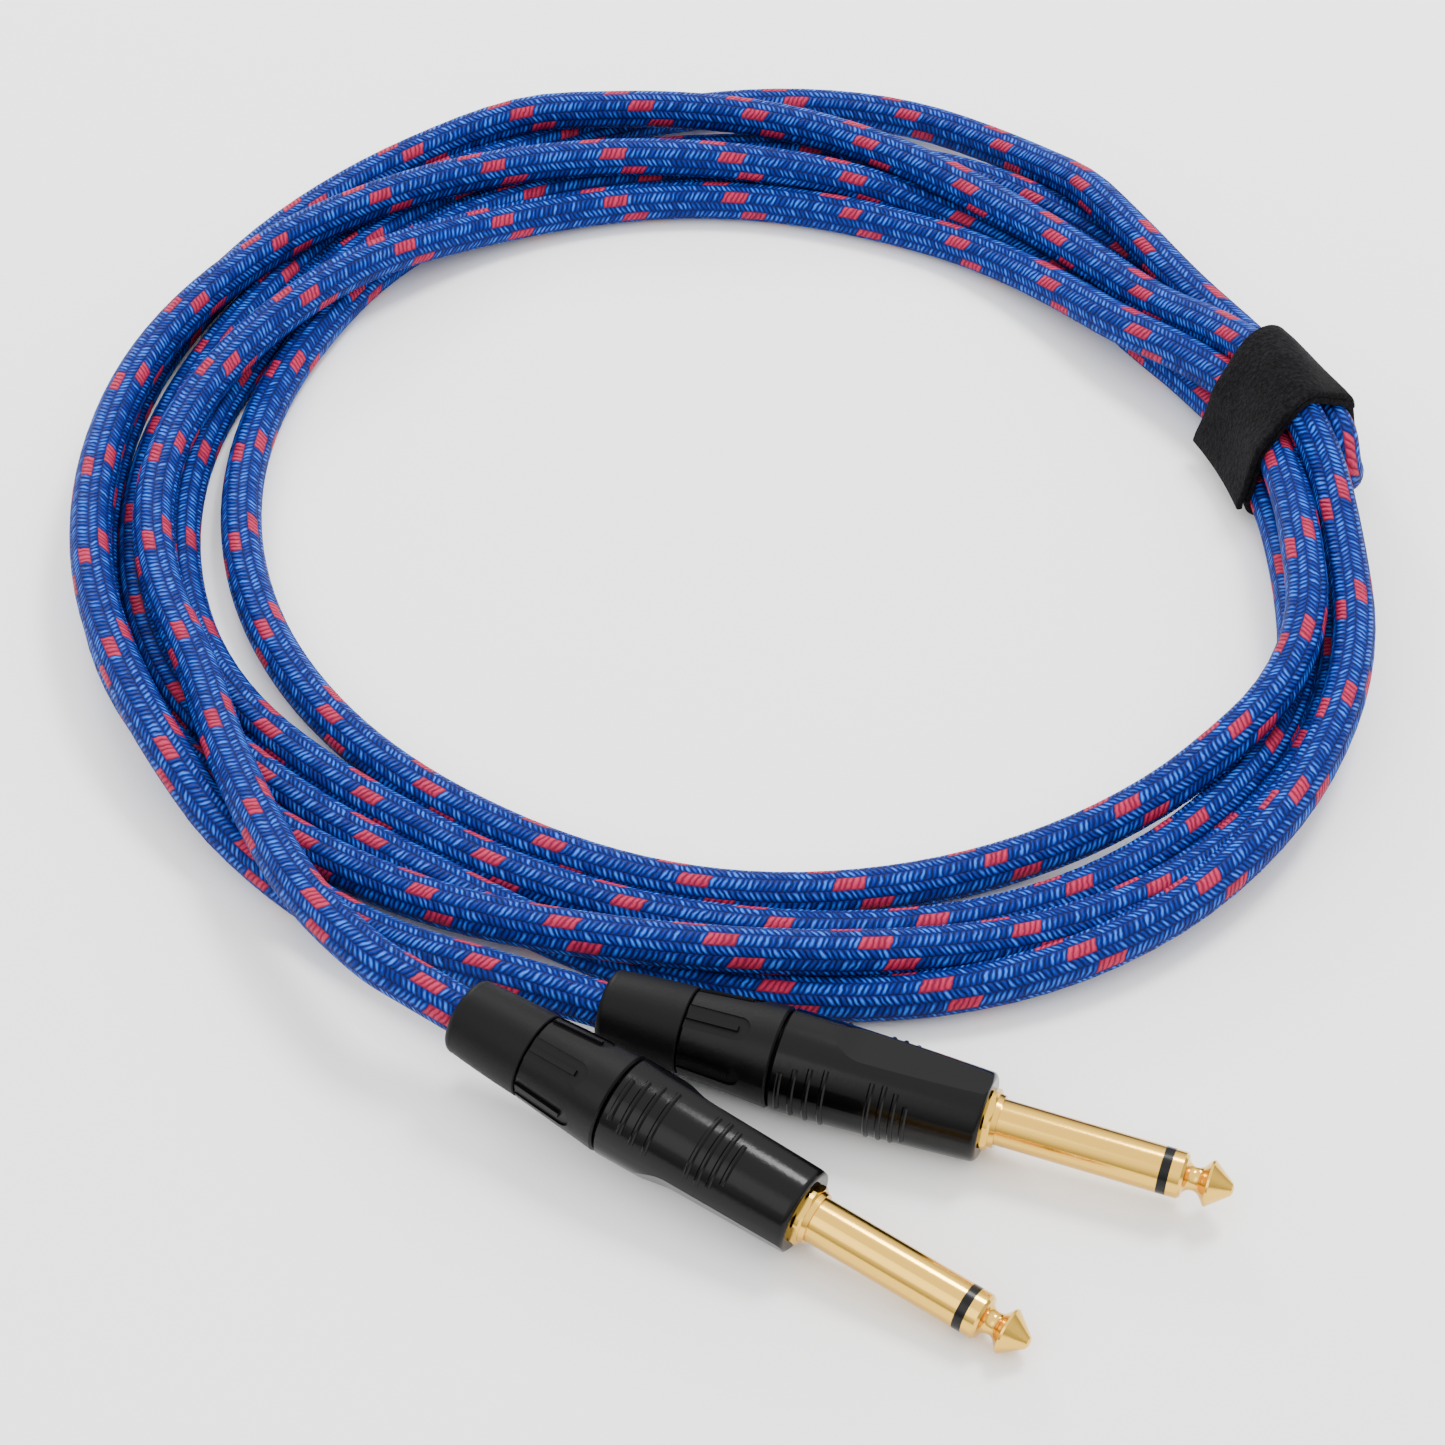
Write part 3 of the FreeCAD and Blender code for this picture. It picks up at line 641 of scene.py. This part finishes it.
    def strip(self, rows: np.ndarray, closed: bool, thickness: float, name: str,
              material: bpy.types.Material) -> bpy.types.Object:
        """Cloth strip through rows of points.

        Args:
            rows: (out, up) rows across the width.
            closed: whether the strip meets itself.
            thickness: of the cloth, millimetres.
            name: the piece's name.
            material: its finish.

        Returns:
            The strip, with its thickness and soft edges.
        """
        points = self.place(rows)
        across, around = points.shape[:2]
        faces = []
        for i in range(across - 1):
            for j in range(around if closed else around - 1):
                k = (j + 1) % around
                faces.append((i * around + j, i * around + k,
                              (i + 1) * around + k, (i + 1) * around + j))
        mesh = bpy.data.meshes.new(name)
        mesh.from_pydata([tuple(p * MM) for p in points.reshape(-1, 3)], [], faces)
        mesh.materials.append(material)
        made = bpy.data.objects.new(name, mesh)
        bpy.context.scene.collection.objects.link(made)
        wall = made.modifiers.new("wall", "SOLIDIFY")
        wall.thickness, wall.offset = thickness * MM, 0.0
        edge = made.modifiers.new("edge", "BEVEL")
        edge.width, edge.segments = thickness * 0.3 * MM, 2
        edge.limit_method, edge.angle_limit = "ANGLE", math.radians(50)
        graph = bpy.context.evaluated_depsgraph_get()
        whole = bpy.data.meshes.new_from_object(made.evaluated_get(graph))
        made.modifiers.clear()
        made.data = whole
        whole.name = name
        for face in whole.polygons:
            face.use_smooth = True
        return made

    def build(self, line: np.ndarray, material: bpy.types.Material) -> None:
        """Args:
            line: the cable's line.
            material: the strap's cloth.
        """
        band_rows = self.sheet(line, self.gap + self.thickness / 2)
        band = self.strip(band_rows, True, self.thickness, "tie_strap", material)
        flap_rows = self.flap_rows(line)
        flap = self.strip(flap_rows, False, self.flap_thickness, "tie_free_end", material)
        _, _, out, up = self.axes()
        for piece, node, rows in ((band, "tie_band", band_rows), (flap, "tie_tail", flap_rows)):
            loop = rows[self.planes // 2]
            if piece is band:
                loop = np.vstack([loop, loop[:1]])
            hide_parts(node)
        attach(band, "coil")
        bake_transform(flap)


class GeometryTree:
    """Builds one Geometry Nodes tree."""

    def __init__(self, name: str) -> None:
        """Start a tree with geometry in and out."""
        self.group = bpy.data.node_groups.new(name, "GeometryNodeTree")
        self.group.interface.new_socket("Geometry", in_out="INPUT",
                                        socket_type="NodeSocketGeometry")
        self.group.interface.new_socket("Geometry", in_out="OUTPUT",
                                        socket_type="NodeSocketGeometry")
        self.inside = self.group.nodes.new("NodeGroupInput")
        self.out = self.group.nodes.new("NodeGroupOutput")
        self.names = {}

    def input(self, name: str, kind: str):
        """Add a named input and return its socket inside the tree."""
        item = self.group.interface.new_socket(name, in_out="INPUT", socket_type=kind)
        self.names[name] = item.identifier
        return self.inside.outputs[name]

    def node(self, kind: str, settings: dict | None = None, inputs: dict | None = None):
        """Add a node, its settings first, then values or links of its inputs."""
        made = self.group.nodes.new(kind)
        for key, value in (settings or {}).items():
            setattr(made, key, value)
        for key, value in (inputs or {}).items():
            if isinstance(value, bpy.types.NodeSocket):
                self.group.links.new(value, made.inputs[key])
            else:
                made.inputs[key].default_value = value
        return made

    def finish(self, geometry, material) -> None:
        """End in real geometry with a material."""
        real = self.node("GeometryNodeRealizeInstances", None, {"Geometry": geometry})
        dressed = self.node("GeometryNodeSetMaterial", None,
                            {"Geometry": real.outputs[0], "Material": material})
        self.group.links.new(dressed.outputs[0], self.out.inputs[0])

    def apply(self, mesh: bpy.types.Mesh, values: dict, name: str) -> bpy.types.Object:
        """Run the tree on a mesh.

        Args:
            mesh: what goes in.
            values: input values by name.
            name: the new object's name.

        Returns:
            An object with the plain mesh that comes out.
        """
        holder = bpy.data.objects.new(name + "_source", mesh)
        bpy.context.scene.collection.objects.link(holder)
        modifier = holder.modifiers.new("nodes", "NODES")
        modifier.node_group = self.group
        for key, value in values.items():
            modifier[self.names[key]] = value
        graph = bpy.context.evaluated_depsgraph_get()
        graph.update()
        made = bpy.data.meshes.new_from_object(holder.evaluated_get(graph))
        holder.modifiers.remove(modifier)
        bpy.data.objects.remove(holder)
        made.name = name
        result = bpy.data.objects.new(name, made)
        bpy.context.scene.collection.objects.link(result)
        return result


def tube_tree() -> GeometryTree:
    """Round tube along a chain of edges, with length and angle stored for the weave."""
    tree = GeometryTree("round_tube")
    radius = tree.input("Radius", "NodeSocketFloat")
    sides = tree.input("Sides", "NodeSocketInt")
    material = tree.input("Material", "NodeSocketMaterial")
    rail = tree.node("GeometryNodeMeshToCurve", None, {"Mesh": tree.inside.outputs[0]})
    place = tree.node("GeometryNodeSplineParameter")
    stored = tree.node("GeometryNodeStoreNamedAttribute",
                       {"data_type": "FLOAT", "domain": "POINT"},
                       {"Geometry": rail.outputs[0], "Name": "along",
                        "Value": place.outputs["Length"]})
    ring = tree.node("GeometryNodeCurvePrimitiveCircle", {"mode": "RADIUS"},
                     {"Resolution": sides, "Radius": radius})
    part = tree.node("GeometryNodeSplineParameter")
    turn = tree.node("ShaderNodeMath", {"operation": "MULTIPLY"},
                     {0: part.outputs["Factor"], 1: FULL_TURN})
    profile = ring.outputs[0]
    for name, operation in (("round_cos", "COSINE"), ("round_sin", "SINE")):
        wave = tree.node("ShaderNodeMath", {"operation": operation}, {0: turn.outputs[0]})
        profile = tree.node("GeometryNodeStoreNamedAttribute",
                            {"data_type": "FLOAT", "domain": "POINT"},
                            {"Geometry": profile, "Name": name,
                             "Value": wave.outputs[0]}).outputs[0]
    skin = tree.node("GeometryNodeCurveToMesh", None,
                     {"Curve": stored.outputs[0], "Profile Curve": profile, "Fill Caps": True})
    smooth = tree.node("GeometryNodeSetShadeSmooth", None, {"Geometry": skin.outputs[0]})
    tree.finish(smooth.outputs[0], material)
    return tree


@dataclass
class Plug:
    """One jack plug: the middle of its collar's face, its axis, and its pieces."""

    half: Half
    front: Point
    axis: Point
    rear: float = 55.8

    def boot_exit(self) -> tuple[np.ndarray, np.ndarray]:
        """Centre of the boot's rear face, and the way the cable leaves it, millimetres."""
        axis = np.array(self.axis)
        return np.array(self.front) - axis * self.rear, -axis

    def pieces(self) -> list[bpy.types.Object]:
        """The plug's CAD nodes."""
        start = f"plug_{self.half.value}_"
        return [node for name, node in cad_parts.items() if name.startswith(start)]

    def dress(self, finishes: dict) -> None:
        """Give each node its material.

        Args:
            finishes: material by the endings of the nodes' names.
        """
        for node in self.pieces():
            for words, material in finishes.items():
                if any(node.name.endswith(word) for word in words):
                    node.data.materials.clear()
                    node.data.materials.append(material)


@dataclass
class Studio:
    """Pale floor, soft lights and the camera."""

    target: Point = (-33.90, 19.88, 0.0)
    distance: float = 525.0
    elevation: float = 44.0
    lens: float = 86.95
    sensor: float = 36.0
    floor: Colour = rgb(252, 252, 252)
    floor_half: float = 6.0
    floor_drop: float = 0.0002
    horizon: float = 0.6
    zenith: float = 2.2
    lamp_aim: Point = (0.0, 0.03, 0.0)

    def camera(self) -> None:
        """Add the camera."""
        data = bpy.data.cameras.new("camera")
        data.lens = self.lens
        data.sensor_width = self.sensor
        data.dof.use_dof = False
        data.clip_start, data.clip_end = 0.01, 20.0
        camera = bpy.data.objects.new("camera", data)
        bpy.context.scene.collection.objects.link(camera)
        e = math.radians(self.elevation)
        back = Vector((0.0, -math.cos(e), math.sin(e)))
        camera.location = (Vector(self.target) + back * self.distance) * MM
        camera.rotation_mode = "QUATERNION"
        camera.rotation_quaternion = (-back).to_track_quat("-Z", "Y")
        bpy.context.scene.camera = camera

    def ground(self) -> None:
        """Add the floor."""
        half = self.floor_half
        mesh = bpy.data.meshes.new("floor")
        mesh.from_pydata([(-half, -half, 0), (half, -half, 0), (half, half, 0), (-half, half, 0)],
                         [], [(0, 1, 2, 3)])
        floor = bpy.data.objects.new("floor", mesh)
        bpy.context.scene.collection.objects.link(floor)
        floor.location.z = -self.floor_drop
        mesh.materials.append(Plain("floor", self.floor, 0.9, specular=0.1).make())

    def light(self, name: str, at: Point, power: float, size: float) -> None:
        """Add a soft square light aimed at the coil, in metres."""
        data = bpy.data.lights.new(name, "AREA")
        data.energy, data.size = power, size
        lamp = bpy.data.objects.new(name, data)
        bpy.context.scene.collection.objects.link(lamp)
        lamp.location = at
        aim = Vector(self.lamp_aim) - Vector(at)
        lamp.rotation_mode = "QUATERNION"
        lamp.rotation_quaternion = aim.to_track_quat("-Z", "Y")

    def world(self) -> None:
        """White surroundings, bright overhead and darker towards the horizon."""
        world = bpy.data.worlds.new("world")
        bpy.context.scene.world = world
        world.use_nodes = True
        nodes, links = world.node_tree.nodes, world.node_tree.links
        way = nodes.new("ShaderNodeTexCoord")
        split = nodes.new("ShaderNodeSeparateXYZ")
        ramp = nodes.new("ShaderNodeMapRange")
        for name, value in (("From Min", 0.05), ("From Max", 0.6), ("To Min", self.horizon),
                            ("To Max", self.zenith)):
            ramp.inputs[name].default_value = value
        links.new(way.outputs["Generated"], split.inputs[0])
        links.new(split.outputs["Z"], ramp.inputs["Value"])
        links.new(ramp.outputs[0], nodes["Background"].inputs["Strength"])
        nodes["Background"].inputs["Color"].default_value = (1.0, 1.0, 1.0, 1.0)


def plug_finishes(braid: bpy.types.Material) -> dict:
    """Make the plugs' materials.

    Args:
        braid: the jacket's material, for the cable ends inside the plugs.

    Returns:
        Material by the endings of the nodes' names.
    """
    gold = Plain("gold", rgb(224, 178, 74), 0.16, metallic=1.0, grain=0.003 * MM).make()
    ring = Plain("insulator", rgb(6, 6, 6), 0.25, specular=0.2).make()
    shell = Plain("shell", rgb(4, 4, 5), 0.19, grain=0.012 * MM, specular=0.16).make()
    grip = Plain("grip", rgb(6, 6, 7), 0.36, grain=0.025 * MM, specular=0.14).make()
    boot = Plain("boot", rgb(8, 8, 9), 0.5, grain=0.03 * MM, specular=0.12).make()
    pale = Plain("liner", rgb(220, 220, 214), 0.4).make()
    copper = Plain("copper", rgb(214, 150, 110), 0.35, metallic=1.0).make()
    core = Plain("core", rgb(190, 30, 24), 0.4).make()
    return {
        ("tip_contact", "sleeve_contact", "tip_lug", "ground_lug", "retaining_nut"): gold,
        ("insulator", "rear_washer"): ring, ("shell",): shell, ("grip_nut",): grip,
        ("boot",): boot, ("liner", "chuck"): pale, ("cable_end",): braid,
        ("core_wire",): core, ("shield_tail",): copper}


def main() -> None:
    """Build everything in order."""
    logging.basicConfig(level=logging.INFO, format="%(name)s: %(message)s")
    studio = Studio()
    studio.camera()
    studio.ground()
    studio.world()
    studio.light("key", (0.3, 0.4, 0.9), 9.0, 0.28)
    studio.light("fill", (-0.6, -0.5, 0.7), 1.9, 0.6)
    studio.light("back", (-0.35, 0.9, 0.45), 5.0, 0.22)

    plugs = [Plug(Half.NEAR, (-21.7, -78.742, 6.147), (0.83596, -0.53874, -0.10453)),
             Plug(Half.FAR, (2.803, -62.634, 6.314), (0.93997, -0.34026, -0.02618))]
    boots = {plug.half: plug.boot_exit() for plug in plugs}

    coil = Coil()
    line = coil.settled(smooth_line(coil.route(boots), "route"))
    path = [tuple(p * MM) for p in line]
    braid = Braid().make()
    cord = tube_tree().apply(rail_mesh(line, "rail"), {
        "Radius": coil.diameter / 2 * MM, "Sides": 24, "Material": braid}, "cable")

    finishes = plug_finishes(braid)
    for plug in plugs:
        plug.dress(finishes)

    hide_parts("cable_coil", "cable_lead_a", "cable_lead_b")
    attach(cord, "coil")
    plugs[1].pieces()
    Tie(coil).build(line, Pile().make())


if __name__ == "__main__":
    main()
